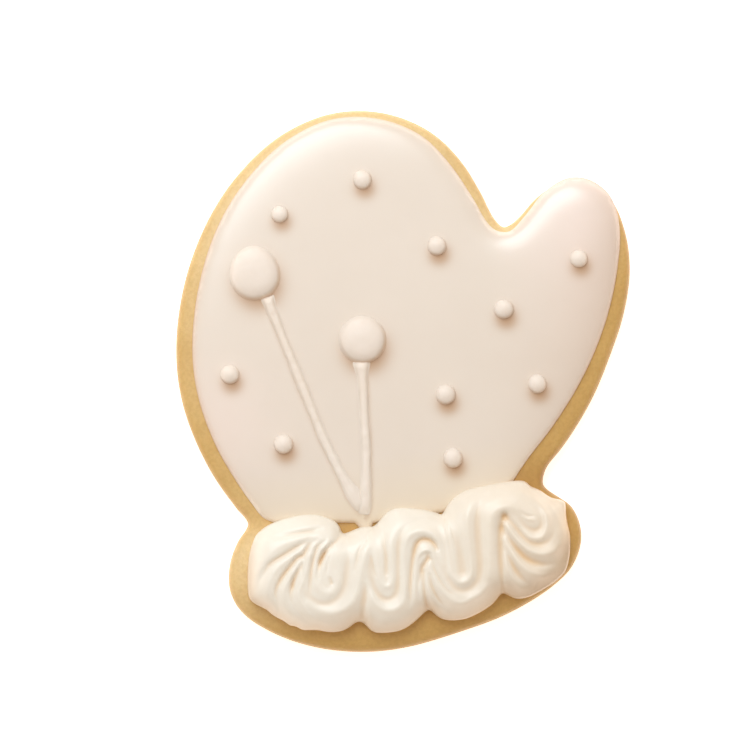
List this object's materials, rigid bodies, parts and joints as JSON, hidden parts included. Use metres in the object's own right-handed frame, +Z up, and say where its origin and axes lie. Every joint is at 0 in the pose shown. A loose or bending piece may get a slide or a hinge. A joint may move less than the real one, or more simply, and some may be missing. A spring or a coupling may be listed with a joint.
{
  "type": "iced sugar cookie",
  "caption": "Mitten-shaped sugar cookie with pale flood icing, a piped ruffled cuff, buttons on stems and small dots.",
  "frame": {"origin": "middle of the biscuit's box in plan, on the plane that it lies on", "axes": "+Z up out of the iced face, +Y from the cuff to the fingertips, +X towards the thumb"},
  "size_m": [0.0857, 0.0999, 0.0137],
  "materials": {
    "baked_biscuit": "golden baked biscuit, fine grained and matt",
    "flood_icing": "pale cream flood icing, smooth with a soft sheen",
    "stiff_icing": "stiff cream icing piped with a star tip, satin",
    "piped_icing": "off-white piped icing, satin"
  },
  "bodies": {
    "root": {"biscuit": "baked_biscuit", "flood_icing": "flood_icing", "piped_cuff": "stiff_icing", "button_left": "piped_icing", "button_right": "piped_icing", "stem_left": "piped_icing", "stem_right": "piped_icing", "dot_01": "piped_icing", "dot_02": "piped_icing", "dot_03": "piped_icing", "dot_04": "piped_icing", "dot_05": "piped_icing", "dot_06": "piped_icing", "dot_07": "piped_icing", "dot_08": "piped_icing", "dot_09": "piped_icing", "dot_10": "piped_icing"}
  },
  "joints": []
}
